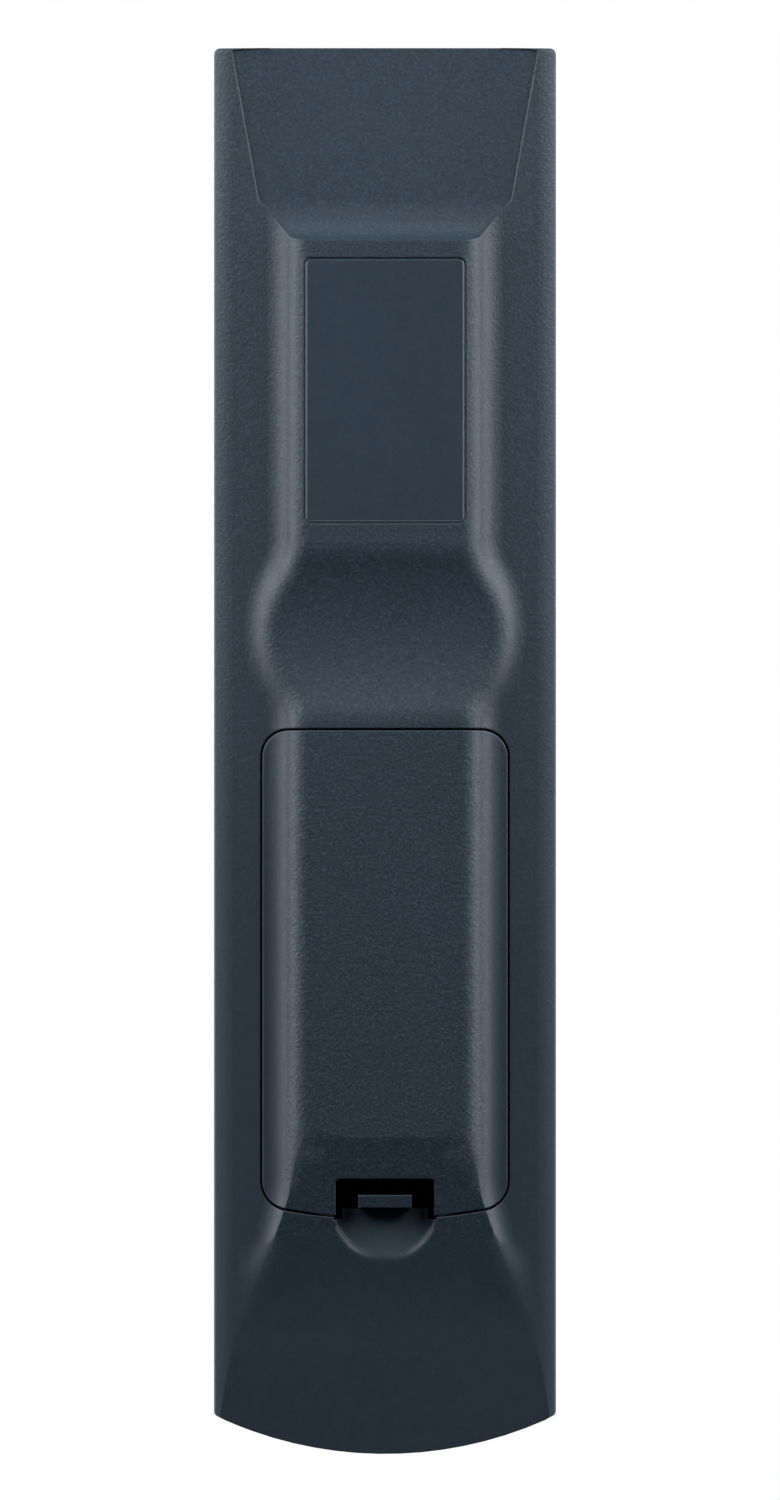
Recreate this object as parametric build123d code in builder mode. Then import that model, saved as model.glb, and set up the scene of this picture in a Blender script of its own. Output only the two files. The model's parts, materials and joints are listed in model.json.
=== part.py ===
from build123d import *
import os
from math import cos, pi, radians, sin, sqrt, tan

# Television remote control, lying on the flat of its back with the keys up (+Z).
# X runs across it and Y along it, with the infrared end at +Y. The origin is under its middle.

os.makedirs("parts", exist_ok=True)

# Outline of the case, seen from above
body_width = 50.0
overall_length = 205.7
window_proud = 0.25
tail_sagitta = 5.7
corner_radius = 0.9

# Heights and walls of the case
parting_z = 14.0
crown_z = 24.0
crown_drop = 0.7
front_round = 2.6
wall = 1.8
edge_round = 0.4
tongue_height = 1.5
seam_gap = 0.25
fit = 0.1

# Back of the case: sloping shoulders with a raised spine between them
shoulder_z = 3.4
shoulder_slope = 5.0
side_round = 7.5
side_tilt = 27.0
side_corner = 0.5
spine_half_width = 12.85
spine_draft = 35.0
spine_top_round = 3.4
spine_foot_round = 3.9

# Finger dish across the spine, where the spine also swells
dish_y = 17.2
dish_depth = 1.9
dish_length = 23.6
dish_roll = 8.0
swell_radius = 16.2
swell_blend = 12.0

# The spine spreads towards the tail, and both of its ends run out on a ramp
flare_from_bay = 6.0
flare_slope = 0.225
flare_blend = 25.0
head_ramp_length = 28.2
head_ramp_steepness = 76.0
head_ramp_bend = 22.0
head_ramp_slope = 0.9
head_ramp_step = 0.25
cove_radius = 4.7
sweep_radius = 9.3
tail_ramp_overlap = 2.1
tail_ramp_slope = 9.5
tail_sweep_radius = 87.0
tail_end_slope = 2.2

# Recess between the head ramp and the dish, with a smooth pad for a rating label in it
recess_width = 23.7
recess_ramp_margin = 2.6
recess_dish_margin = 15.8
recess_depth = 0.3
recess_corner = 1.0
recess_bevel = 20.0
pad_gap = 0.38
pad_drop = 0.1
pad_bevel = 45.0

# Battery cover
cover_half_width = 17.9
cover_lap = 4.4
cover_corner = 3.9
cover_tail = 9.7
cover_bow = 2.05
cover_wall = 1.6
cover_gap = 0.3
cover_rim_z = 5.4

# Tabs that hold the top edge of the battery cover under the case
tab_x = 9.0
tab_width = 5.0
tab_thickness = 1.4
tab_reach = 2.1
tab_clearance = 0.3
tab_lift = 1.1

# Notch, latch and thumb scoop at the tail end of the battery cover
notch_width = 14.4
notch_depth = 5.7
notch_corner = 0.6
scoop_radius = 7.5
scoop_inset = 1.5
scoop_depth = 2.3
ledge_half_width = 6.3
ledge_inset = 1.25
ledge_thickness = 1.5
latch_width = 7.8
latch_pad_depth = 1.85
latch_strip = 1.2
latch_hinge_z = 12.7
latch_engagement = 0.85
latch_gap = 0.2
latch_arm_inset = 7.2

# Components under the circuit board
chip_place = (0, 46)
chip_size = (7.5, 18.0, 2.3)
chip_leg_pitch = 1.27
chip_leg_width = 0.45
chip_leg_reach = 1.4
resonator_place = (11.5, 46)
resonator_size = (3.4, 7.4, 4.6)
capacitor_place = (-12, 44)
capacitor_radius = 3.15
capacitor_length = 11.2
driver_inset = 14.0
driver_size = (2.9, 1.3, 1.1)
resistor_size = (3.2, 1.6, 0.6)
resistor_pitch = 5.0

# Two AA cells lie side by side, one each way round
cell_radius = 7.1
cell_length = 50.5
nub_radius = 2.75
nub_length = 1.3
cell_pitch = 15.2
cell_z = 9.15
cell_side_gap = 0.6
bay_top_y = -1.5
spring_room = 6.5
bay_ceiling_z = 16.8
bay_wall = 1.4
bay_floor_z = 4.9
plate_thickness = 0.4
plate_size = 11.0
plate_tail_width = 3.2
spring_wire = 0.7
spring_foot_radius = 4.4
spring_tip_radius = 2.6
spring_turns = 3.5

# Circuit board and the rubber keypad on it
board_z = 18.2
board_thickness = 1.6
board_side_margin = 3.4
board_tail_margin = 7.0
board_head_margin = 12.6
pad_thickness = 0.04
mat_thickness = 0.5
mat_margin = 1.2
rib_thickness = 1.0

# Keys
key_bottom_z = 21.4
key_top_z = 25.3
key_round = 0.6
key_clearance = 0.25
flange_width = 0.6
flange_height = 0.6
key_travel = 1.0
pill_radius = 1.5
pill_clearance = 0.06
rocker_flange_top_z = 21.5
rocker_pill_gap = 0.5

# Key sizes: width, length and corner radius
power_size = (8.4, 8.4, 4.2)
head_size = (10.0, 5.4, 2.2)
digit_size = (10.4, 6.2, 1.6)
rocker_size = (9.6, 25.0, 3.6)
middle_size = (9.2, 7.0, 2.4)
select_size = (11.6, 11.6, 5.8)
arrow_size = (12.0, 6.4, 2.4)
corner_size = (8.4, 5.0, 1.8)
transport_size = (10.4, 5.0, 1.8)
colour_size = (8.2, 4.2, 1.6)

# Key layout: the columns as shares of the width of the case, and the rows as shares of the way
# from the colour keys up to the head row
column_share = 0.28
corner_share = 0.308
colour_share = 0.212
head_row_inset = 20.6
digit_row_share = 139 / 153
digit_pitch_share = 10.4 / 153
rocker_share = 89 / 153
pointer_share = 53.5 / 153
transport_row_share = 26.5 / 153
transport_pitch_share = 9 / 153
middle_pitch = 12.5
pointer_radius = 12.4
corner_reach = 14.2
colour_row_gap = 6.8

# Screws up through the battery bay into the front cover
screw_x = 13.0
screw_from_bay = 5.7
screw_shank_radius = 1.0
screw_head_radius = 2.1
screw_head_height = 1.6
screw_head_z = 9.0
screw_length = 12.2
screw_recess_radius = 2.5
boss_radius = 2.4
post_radius = 1.7
post_inset = 3.2

# Infrared window and emitters at the head end
window_side_margin = 3.1
window_bottom_z = 9.6
window_top_z = 18.4
window_flange = 0.7
window_flange_thickness = 1.2
emitter_x = 7.0
emitter_radius = 2.5
emitter_length = 7.6
emitter_rim = 0.4
emitter_z = 15.3
lead_width = 0.5
lead_pitch = 2.54
lead_run = 2.6

top_y = overall_length / 2 - window_proud
tail_y = -overall_length / 2
half_width = body_width / 2
tail_radius = (half_width**2 + tail_sagitta**2) / (2 * tail_sagitta)
tail_centre_y = tail_y + tail_radius
draft_run = tan(radians(spine_draft))
far = 2 * overall_length
beyond = 1.0
inside_z = crown_z - wall
board_top_z = board_z + board_thickness
mat_top_z = board_top_z + mat_thickness
cell_x = cell_pitch / 2
bay_half_width = cell_x + cell_radius + cell_side_gap
bay_length = cell_length + spring_room
bay_tail_y = bay_top_y - bay_length
screw_y = bay_tail_y - screw_from_bay

head_ramp_y = top_y - head_ramp_length
recess_length = head_ramp_y - recess_ramp_margin - dish_y - recess_dish_margin
recess_y = head_ramp_y - recess_ramp_margin - recess_length / 2
flare_y = bay_tail_y - flare_from_bay
tail_ramp_y = bay_tail_y + tail_ramp_overlap
cover_top_y = bay_top_y + cover_lap
cover_end_y = bay_tail_y - cover_tail
cover_corner_y = cover_end_y + cover_bow
notch_y = cover_end_y + notch_depth
scoop_y = cover_end_y + scoop_inset
scoop_tip_y = scoop_y - scoop_radius
ledge_y = cover_end_y + ledge_inset
latch_arm_y = cover_end_y + latch_arm_inset

column_pitch = column_share * body_width
corner_x = corner_share * body_width
colour_pitch = colour_share * body_width
head_row_y = top_y - head_row_inset
colour_row_y = screw_y - colour_row_gap
key_span = head_row_y - colour_row_y
digit_row_y = colour_row_y + digit_row_share * key_span
digit_pitch = digit_pitch_share * key_span
rocker_y = colour_row_y + rocker_share * key_span
pointer_y = colour_row_y + pointer_share * key_span
transport_row_y = colour_row_y + transport_row_share * key_span
transport_pitch = transport_pitch_share * key_span

board_half_width = half_width - board_side_margin
board_tail_y = colour_row_y - board_tail_margin
board_head_y = top_y - board_head_margin
driver_place = (0, board_head_y - driver_inset)
post_x = board_half_width - post_inset
window_half_width = half_width - window_side_margin


# Shared outlines

def body_outline(plane, inset=0.0, corner=corner_radius):
    """Plan of the case: straight sides, a square head end and a bowed tail end."""
    half = half_width - inset
    radius = tail_radius - inset
    corner_y = tail_centre_y - sqrt(radius**2 - half**2)
    with BuildSketch(plane) as outline:
        with BuildLine():
            Polyline((-half, corner_y), (-half, top_y - inset), (half, top_y - inset), (half, corner_y))
            ThreePointArc((half, corner_y), (0, tail_centre_y - radius), (-half, corner_y))
        make_face()
        if corner:
            fillet(outline.vertices(), corner)
    return outline.sketch


def spine_outline(plane, inset=0.0):
    """Plan of the spine: it swells round the finger dish and spreads at the tail."""
    half = spine_half_width - inset
    spread = half + flare_slope * overall_length
    with BuildSketch(plane) as outline:
        with BuildLine():
            Polyline((-half, far), (half, far), (half, flare_y), (spread, flare_y - overall_length),
                     (-spread, flare_y - overall_length), (-half, flare_y), close=True)
        make_face()
        with Locations((0, dish_y)):
            Circle(swell_radius - inset)
        fillet([v for v in outline.vertices() if abs(v.Y - dish_y) < swell_radius], swell_blend)
        fillet([v for v in outline.vertices() if abs(v.Y - flare_y) < corner_radius], flare_blend)
    return outline.sketch


def shoulder_section(inset=0.0):
    """Cross section of the lower case: sloping shoulders that curve up past its sides, which trim them."""
    radius = side_round - inset
    slope = radians(shoulder_slope)
    centre_x = half_width - side_round * sin(radians(side_tilt))
    tangent_x = centre_x + side_round * sin(slope)
    centre_z = shoulder_z + (tangent_x - spine_half_width) * tan(slope) + side_round * cos(slope)
    low_x = spine_half_width - inset * sin(slope)
    low_z = shoulder_z + inset * cos(slope)
    turn = slope / 2 + pi / 4
    with BuildSketch(Plane.XZ) as section:
        with BuildLine():
            Polyline((0, crown_z), (centre_x + radius, crown_z), (centre_x + radius, centre_z))
            ThreePointArc((centre_x + radius, centre_z),
                          (centre_x + radius * sin(turn), centre_z - radius * cos(turn)),
                          (centre_x + radius * sin(slope), centre_z - radius * cos(slope)))
            Polyline((centre_x + radius * sin(slope), centre_z - radius * cos(slope)), (low_x, low_z),
                     (0, low_z))
            mirror(about=Plane.YZ)
        make_face()
    return section.sketch


def cover_outline(plane, grow=0.0):
    """Plan of the battery cover: rounded corners and a slightly bowed tail edge."""
    half = cover_half_width + grow
    with BuildSketch(plane) as outline:
        with BuildLine():
            Polyline((-half, cover_corner_y - grow), (-half, cover_top_y + grow),
                     (half, cover_top_y + grow), (half, cover_corner_y - grow))
            ThreePointArc((half, cover_corner_y - grow), (0, cover_end_y - grow),
                          (-half, cover_corner_y - grow))
        make_face()
        fillet(outline.vertices(), cover_corner + grow)
    return outline.sketch


def block(x_range, y_range, z_range):
    """A plain box between two stations along each axis."""
    with BuildPart() as box:
        with BuildSketch(Plane.XY.offset(z_range[0])):
            with Locations((sum(x_range) / 2, sum(y_range) / 2)):
                Rectangle(x_range[1] - x_range[0], y_range[1] - y_range[0])
        extrude(amount=z_range[1] - z_range[0])
    return box.part


def spine_core(floor_z, ceiling_z, start_y, end_y, skin):
    """The inside of the spine between two stations along it, a skin's thickness in from its flanks."""
    inset = skin / cos(radians(spine_draft)) - floor_z * draft_run
    with BuildPart() as core:
        extrude(spine_outline(Plane.XY.offset(floor_z), inset), amount=ceiling_z - floor_z,
                taper=-spine_draft)
        add(block((-half_width, half_width), (start_y, end_y), (floor_z, ceiling_z)), mode=Mode.INTERSECT)
    return core.part


def key_outline(plane, key, grow=0.0):
    """Plan of one key, round where its corner is half of its width."""
    x, y, width, length, corner = key
    with BuildSketch(plane) as outline:
        with Locations((x, y)):
            if 2 * corner < min(width, length):
                RectangleRounded(width + 2 * grow, length + 2 * grow, corner + grow)
            else:
                Circle(corner + grow)
    return outline.sketch


# Key layout: x, y, width, length and corner radius of each key

keys = {"power_key": (-column_pitch, head_row_y, *power_size)}
for column, name in enumerate(("aspect_key", "input_key")):
    keys[name] = (column * column_pitch, head_row_y, *head_size)

digit_names = [f"digit_{number}_key" for number in range(1, 10)] + ["dash_key", "digit_0_key", "recall_key"]
for place, name in enumerate(digit_names):
    row, column = divmod(place, 3)
    keys[name] = ((column - 1) * column_pitch, digit_row_y - row * digit_pitch, *digit_size)

rockers = ("volume_rocker", "channel_rocker")
for side, name in zip((-1, 1), rockers):
    keys[name] = (side * column_pitch, rocker_y, *rocker_size)
for side, name in ((1, "mute_key"), (-1, "guide_key")):
    keys[name] = (0, rocker_y + side * middle_pitch / 2, *middle_size)

keys["select_key"] = (0, pointer_y, *select_size)
arrow_width, arrow_length, arrow_corner = arrow_size
for side, name in ((1, "up_key"), (-1, "down_key")):
    keys[name] = (0, pointer_y + side * pointer_radius, arrow_width, arrow_length, arrow_corner)
for side, name in ((-1, "left_key"), (1, "right_key")):
    keys[name] = (side * pointer_radius, pointer_y, arrow_length, arrow_width, arrow_corner)
for place, name in enumerate(("menu_key", "home_key", "back_key", "exit_key")):
    row, column = divmod(place, 2)
    keys[name] = ((2 * column - 1) * corner_x, pointer_y + (1 - 2 * row) * corner_reach, *corner_size)

transport_names = ("rewind_key", "play_key", "forward_key", "record_key", "stop_key", "pause_key")
for place, name in enumerate(transport_names):
    row, column = divmod(place, 3)
    keys[name] = ((column - 1) * column_pitch, transport_row_y - row * transport_pitch, *transport_size)

for place, name in enumerate(("red_key", "green_key", "yellow_key", "blue_key")):
    keys[name] = ((place - 1.5) * colour_pitch, colour_row_y, *colour_size)


def pill_places(name):
    """Where the carbon pills of a key sit: one in the middle, or one near each end of a rocker."""
    x, y, _, length, _ = keys[name]
    if name in rockers:
        reach = length / 2 - 4 * flange_width - pill_radius
        return [(x, y - reach), (x, y + reach)]
    return [(x, y)]


# Back form: the solid shape of the lower case before anything is cut into it
with BuildPart() as spine:
    extrude(spine_outline(Plane.XY), amount=parting_z, taper=-spine_draft)
    dish_radius = ((dish_length / 2)**2 + dish_depth**2) / (2 * dish_depth)
    with BuildSketch(Plane.YZ):
        with Locations((dish_y, dish_depth - dish_radius)):
            Circle(dish_radius)
    extrude(amount=body_width, both=True, mode=Mode.SUBTRACT)
    lips = spine.edges().filter_by(Axis.X).group_by(Axis.Z)[0]
    fillet([e for e in lips if abs(e.center().Y - dish_y) < dish_length], dish_roll)
    flats = spine.faces().filter_by(lambda f: f.normal_at(f.center()).Z < -cos(radians(spine_draft / 2)))
    rim = [e for e in flats.edges() if sum(e in f.edges() for f in flats) == 1]
    fillet([e for e in rim if abs(e.center().X) > spine_half_width / 2], spine_top_round)

slab_length = overall_length + 2 * tail_radius - body_width
with BuildPart() as spine_blank:
    with BuildSketch(Plane.XY):
        Rectangle(4 * body_width, slab_length)
    extrude(amount=parting_z)
    add(spine.part, mode=Mode.INTERSECT)

with BuildPart() as head_ramp:
    with BuildSketch(Plane.YZ):
        with BuildLine():
            steep = radians(head_ramp_steepness)
            cove = JernArc(start=(head_ramp_y, 0), tangent=(cos(steep), sin(steep)), radius=cove_radius,
                           arc_size=head_ramp_bend - head_ramp_steepness)
            sweep_up = JernArc(start=cove @ 1, tangent=cove % 1, radius=sweep_radius,
                               arc_size=head_ramp_slope - head_ramp_bend)
            rest = top_y + beyond - (sweep_up @ 1).X
            end_z = (sweep_up @ 1).Y + rest * tan(radians(head_ramp_slope))
            Polyline(sweep_up @ 1, (top_y + beyond, end_z), (top_y + beyond, -beyond),
                     (head_ramp_y - beyond / tan(steep), -beyond), cove @ 0)
        make_face()
    extrude(amount=body_width, both=True)

with BuildPart() as tail_ramp:
    with BuildSketch(Plane.YZ):
        with BuildLine():
            slope = radians(tail_ramp_slope)
            scoop_tip_z = (tail_ramp_y - scoop_tip_y) * tan(slope)
            sweep_out = JernArc(start=(scoop_tip_y, scoop_tip_z), tangent=(-cos(slope), sin(slope)),
                                radius=tail_sweep_radius, arc_size=tail_ramp_slope - tail_end_slope)
            rest = (sweep_out @ 1).X - tail_y + beyond
            Polyline(sweep_out @ 1, (tail_y - beyond, (sweep_out @ 1).Y + rest * tan(radians(tail_end_slope))),
                     (tail_y - beyond, -beyond), (tail_ramp_y, -beyond), (tail_ramp_y, 0), sweep_out @ 0)
        make_face()
    extrude(amount=body_width, both=True)

with BuildPart() as back_form:
    with BuildSketch(Plane.XY):
        Rectangle(4 * body_width, slab_length)
    extrude(amount=parting_z)
    extrude(shoulder_section(), amount=far, both=True, mode=Mode.INTERSECT)
    add(spine_blank.part)
    feet = back_form.edges(Select.NEW).filter_by(
        lambda e: abs(e.center().X) > spine_half_width and abs(e.center().Y) < slab_length / 2 - beyond
        and e.center().Z < parting_z - beyond)
    fillet(feet, spine_foot_round)
    extrude(body_outline(Plane.XY), amount=parting_z, mode=Mode.INTERSECT)
    sides = back_form.edges().filter_by(Axis.Y).filter_by(
        lambda e: abs(e.center().X) > half_width - fit and e.center().Z < parting_z - beyond)
    fillet(sides, side_corner)
    add(head_ramp.part, mode=Mode.SUBTRACT)
    # The ramp lies a step below the crease along its edge
    ramp_faces = back_form.faces().filter_by(
        lambda f: abs(f.center().X) < beyond and f.center().Y > head_ramp_y
        and f.normal_at(f.center()).Z < -cos(steep) / 2)
    extrude(ramp_faces, amount=head_ramp_step, dir=(0, 0, 1), mode=Mode.SUBTRACT)
    add(tail_ramp.part, mode=Mode.SUBTRACT)


# Lower case, with the battery bay, the latch well and the supports of the circuit board
head_floor_z = end_z + head_ramp_step + wall
core_top_z = shoulder_z + 2 * wall
rim_end_y = cover_top_y + cover_gap + tab_reach + wall
post_places = [(side * post_x, y) for side in (-1, 1) for y in (head_ramp_y, rocker_y, board_tail_y + wall)]
dish_floor_z = dish_depth + wall
dish_end_y = dish_y + dish_length / 2 + wall
pockets = [
    spine_core(dish_floor_z, core_top_z, rim_end_y, dish_end_y, wall),
    spine_core(recess_depth + wall, core_top_z, dish_end_y - beyond, head_ramp_y - wall, wall),
]

with BuildPart() as hollow:
    extrude(body_outline(Plane.XY, wall), amount=parting_z + beyond)
    extrude(shoulder_section(wall), amount=far, both=True, mode=Mode.INTERSECT)
    add(block((-half_width, half_width), (head_ramp_y - wall, far), (0, head_floor_z)), mode=Mode.SUBTRACT)
    add(Location((0, 0, wall)) * tail_ramp.part, mode=Mode.SUBTRACT)
    add(pockets)
    with BuildSketch(Plane.XY):
        with Locations(*post_places):
            Circle(post_radius)
    extrude(amount=parting_z + beyond, mode=Mode.SUBTRACT)

well_half_width = notch_width / 2 + cover_gap
well_top_y = bay_tail_y - bay_wall
well_tail_y = cover_end_y - cover_gap
well_ceiling_z = board_z - bay_wall
ledge_outer_z = (tail_ramp_y - ledge_y) * tan(radians(tail_ramp_slope)) + scoop_depth
ledge_inner_z = ledge_outer_z + ledge_thickness
bay_frame_x = bay_half_width + bay_wall
lug_half_width = latch_width / 2 + tab_clearance
lug_z = ledge_inner_z + latch_gap
lug_top_z = lug_z + 2 * latch_strip
pad_top_z = ledge_outer_z - tab_clearance
tab_z = dish_depth + latch_strip + tab_clearance
slot_width = plate_tail_width + 2 * fit
screw_hole_radius = screw_shank_radius + 3 * fit
rib_places = [digit_row_y - (row + 0.5) * digit_pitch for row in range(3)]
rib_places.append(transport_row_y - transport_pitch / 2)
emitter_back_y = top_y - wall - window_flange_thickness - tab_clearance - fit - emitter_length
lead_y = emitter_back_y - lead_run
lead_places = [side * emitter_x + half * lead_pitch / 2 for side in (-1, 1) for half in (-1, 1)]
mat_half_width = board_half_width - tab_clearance
mat_head_y = head_row_y + power_size[1] / 2 + flange_width + mat_margin
mat_tail_y = colour_row_y - colour_size[1] / 2 - flange_width - mat_margin
rocker_bottom_z = rocker_flange_top_z - flange_height
bay_head_y = bay_top_y + wall
block_tail_y = well_tail_y - wall
frame_x = cover_half_width + cover_gap + wall
frame_top_z = bay_floor_z + wall + tab_clearance
window_z = (window_bottom_z + window_top_z) / 2
window_height = window_top_z - window_bottom_z


def window_outline(plane, grow):
    """Elevation of the infrared window."""
    with BuildSketch(plane) as outline:
        with Locations((0, window_z)):
            RectangleRounded(2 * (window_half_width + grow), window_height + 2 * grow, corner_radius + grow)
    return outline.sketch


with BuildPart() as scoop:
    with BuildSketch(Plane.XY.offset(-beyond)):
        with Locations((0, scoop_y)):
            Circle(scoop_radius)
    extrude(amount=parting_z)
    with BuildSketch(Plane.YZ):
        with BuildLine():
            brim_y = scoop_y + scoop_radius
            TangentArc((ledge_y, ledge_outer_z), (scoop_tip_y, scoop_tip_z), tangent=(-1, 0))
            Polyline((scoop_tip_y, scoop_tip_z), (scoop_tip_y, -beyond), (brim_y, -beyond),
                     (brim_y, ledge_outer_z), (ledge_y, ledge_outer_z))
        make_face()
    extrude(amount=scoop_radius, both=True, mode=Mode.INTERSECT)

with BuildPart() as ledge:
    add(block((-ledge_half_width, ledge_half_width), (well_tail_y - wall, ledge_y), (0, ledge_inner_z)))
    add(back_form.part, mode=Mode.INTERSECT)

with BuildPart() as rear_cover:
    add(back_form.part)
    add(hollow.part, mode=Mode.SUBTRACT)
    with BuildSketch(Plane.XY.offset(parting_z)):
        add(body_outline(Plane.XY, wall / 2 + fit))
        add(body_outline(Plane.XY, wall), mode=Mode.SUBTRACT)
    extrude(amount=tongue_height)
    add(block((-bay_frame_x, bay_frame_x), (block_tail_y, bay_head_y), (bay_floor_z, board_z)))
    add(block((-frame_x, frame_x), (block_tail_y, rim_end_y), (bay_floor_z, frame_top_z)))
    with BuildSketch(Plane.XY.offset(parting_z - wall)):
        with Locations(*post_places):
            Circle(post_radius)
    extrude(amount=board_z - parting_z + wall)
    extrude(cover_outline(Plane.XY.offset(-beyond), cover_gap),
            amount=cover_rim_z + cover_gap + beyond, mode=Mode.SUBTRACT)
    add(block((-bay_half_width, bay_half_width), (bay_tail_y, bay_top_y), (0, bay_ceiling_z)),
        mode=Mode.SUBTRACT)
    add(block((-well_half_width, well_half_width), (well_tail_y, well_top_y), (0, well_ceiling_z)),
        mode=Mode.SUBTRACT)
    add(ledge.part)
    add(scoop.part, mode=Mode.SUBTRACT)
    # Pocket behind the ledge, where the latch's lug sits
    add(block((-lug_half_width, lug_half_width), (well_tail_y - latch_engagement, well_tail_y),
              (ledge_inner_z, lug_top_z + tab_clearance)), mode=Mode.SUBTRACT)
    # Pocket over the rim, where the cover's tabs sit
    add(block((-tab_x - tab_width / 2 - tab_clearance, tab_x + tab_width / 2 + tab_clearance),
              (bay_top_y, cover_top_y + tab_reach + tab_clearance),
              (tab_z - tab_clearance, tab_z + tab_thickness + tab_lift)), mode=Mode.SUBTRACT)
    # Slots in the ceiling of the bay for the tails of the contact plates
    for side in (-1, 1):
        add(block((side * cell_x - slot_width / 2, side * cell_x + slot_width / 2),
                  (bay_top_y - plate_thickness - fit, bay_top_y), (bay_ceiling_z - beyond, board_z)),
            mode=Mode.SUBTRACT)
    # Screw recesses and clearance holes
    with BuildSketch(Plane.XY.offset(bay_floor_z)):
        with Locations((-screw_x, screw_y), (screw_x, screw_y)):
            Circle(screw_recess_radius)
    extrude(amount=screw_head_z - bay_floor_z, mode=Mode.SUBTRACT)
    with BuildSketch(Plane.XY.offset(bay_floor_z)):
        with Locations((-screw_x, screw_y), (screw_x, screw_y)):
            Circle(screw_hole_radius)
    extrude(amount=board_z - bay_floor_z, mode=Mode.SUBTRACT)
    # Recess and the pad for the rating label
    with BuildSketch(Plane.XY):
        with Locations((0, recess_y)):
            RectangleRounded(recess_width, recess_length, recess_corner)
    extrude(amount=recess_depth, taper=recess_bevel, mode=Mode.SUBTRACT)
    with BuildSketch(Plane.XY.offset(pad_drop)):
        with Locations((0, recess_y)):
            RectangleRounded(recess_width - 2 * pad_gap, recess_length - 2 * pad_gap, recess_corner - pad_gap)
    extrude(amount=recess_depth - pad_drop, taper=-pad_bevel)
    # Shadow gap along the seam with the upper case
    with BuildSketch(Plane.XY.offset(parting_z - seam_gap)):
        add(body_outline(Plane.XY))
        add(body_outline(Plane.XY, seam_gap), mode=Mode.SUBTRACT)
    extrude(amount=seam_gap, mode=Mode.SUBTRACT)
    # Opening for the infrared window
    extrude(window_outline(Plane.XZ.offset(wall / 2 - top_y), fit), amount=wall, both=True, mode=Mode.SUBTRACT)
rear_cover.part.label = "rear_cover"
export_step(rear_cover.part, "parts/rear_cover.step")

# Upper case with the key openings
with BuildPart() as front_cover:
    extrude(body_outline(Plane.XY.offset(parting_z), corner=0), amount=crown_z - parting_z)
    with BuildSketch(Plane.XZ):
        with BuildLine():
            Polyline((-half_width, crown_z - crown_drop), (-half_width, parting_z), (half_width, parting_z),
                     (half_width, crown_z - crown_drop))
            ThreePointArc((half_width, crown_z - crown_drop), (0, crown_z), (-half_width, crown_z - crown_drop))
        make_face()
    extrude(amount=far, both=True, mode=Mode.INTERSECT)
    fillet(front_cover.faces().sort_by(Axis.Z)[-1].edges(), front_round)
    extrude(body_outline(Plane.XY.offset(parting_z)), amount=crown_z - parting_z, mode=Mode.INTERSECT)
    extrude(body_outline(Plane.XY.offset(parting_z), wall), amount=inside_z - parting_z, mode=Mode.SUBTRACT)
    extrude(body_outline(Plane.XY.offset(parting_z), wall / 2), amount=tongue_height + fit,
            mode=Mode.SUBTRACT)
    # Ribs across the case, which hold the keypad down between the rows of keys
    with BuildSketch(Plane.XY.offset(mat_top_z)):
        with Locations(*[(0, y) for y in rib_places]):
            Rectangle(2 * column_pitch, rib_thickness)
    extrude(amount=inside_z - mat_top_z)
    # Screw bosses, which also hold the circuit board down
    with BuildSketch(Plane.XY.offset(board_top_z)):
        with Locations((-screw_x, screw_y), (screw_x, screw_y)):
            Circle(boss_radius)
    extrude(amount=inside_z - board_top_z)
    with BuildSketch(Plane.XY.offset(board_top_z)):
        with Locations((-screw_x, screw_y), (screw_x, screw_y)):
            Circle(screw_shank_radius)
    extrude(amount=inside_z + fit - board_top_z, mode=Mode.SUBTRACT)
    # Key openings
    with BuildSketch(Plane.XY.offset(mat_top_z)):
        for key in keys.values():
            add(key_outline(Plane.XY, key, key_clearance))
    extrude(amount=crown_z - mat_top_z + beyond, mode=Mode.SUBTRACT)
    # Opening for the infrared window
    extrude(window_outline(Plane.XZ.offset(wall / 2 - top_y), fit), amount=wall, both=True, mode=Mode.SUBTRACT)
front_cover.part.label = "front_cover"
export_step(front_cover.part, "parts/front_cover.step")

# Battery cover: the middle of the spine, with two tabs and the arm that carries the latch
tail_floor_z = (tail_ramp_y - cover_end_y) * tan(radians(tail_ramp_slope)) + cover_wall
cover_cores = [
    spine_core(cover_wall, cover_rim_z + beyond, bay_tail_y, cover_top_y + beyond, cover_wall),
    spine_core(tail_floor_z, cover_rim_z + beyond, cover_end_y - beyond, bay_tail_y, cover_wall),
]

with BuildPart() as battery_cover:
    extrude(cover_outline(Plane.XY), amount=cover_rim_z)
    add(back_form.part, mode=Mode.INTERSECT)
    add(cover_cores, mode=Mode.SUBTRACT)
    # Tabs under the case's rim
    with BuildSketch(Plane.YZ.offset(-tab_x - tab_width / 2)):
        with BuildLine():
            root_y = cover_top_y - tab_clearance
            Polyline((root_y, cover_wall / 2), (root_y, tab_z), (cover_top_y + tab_reach, tab_z),
                     (cover_top_y + tab_reach, tab_z + tab_thickness),
                     (root_y - tab_thickness, tab_z + tab_thickness),
                     (root_y - tab_thickness, cover_wall / 2), close=True)
        make_face()
    tabs = extrude(amount=tab_width)
    mirror(tabs, about=Plane.YZ)
    # Arm that carries the latch
    add(block((-latch_width / 2, latch_width / 2), (latch_arm_y - latch_strip, latch_arm_y),
              (tail_floor_z - cover_wall / 2, latch_hinge_z - fit)))
    # Notch over the latch
    with BuildSketch(Plane.XY):
        with Locations((0, notch_y - notch_width / 2)):
            RectangleRounded(notch_width, notch_width, notch_corner)
    extrude(amount=cover_rim_z, mode=Mode.SUBTRACT)
battery_cover.part.label = "battery_cover"
export_step(battery_cover.part, "parts/battery_cover.step")

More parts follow.
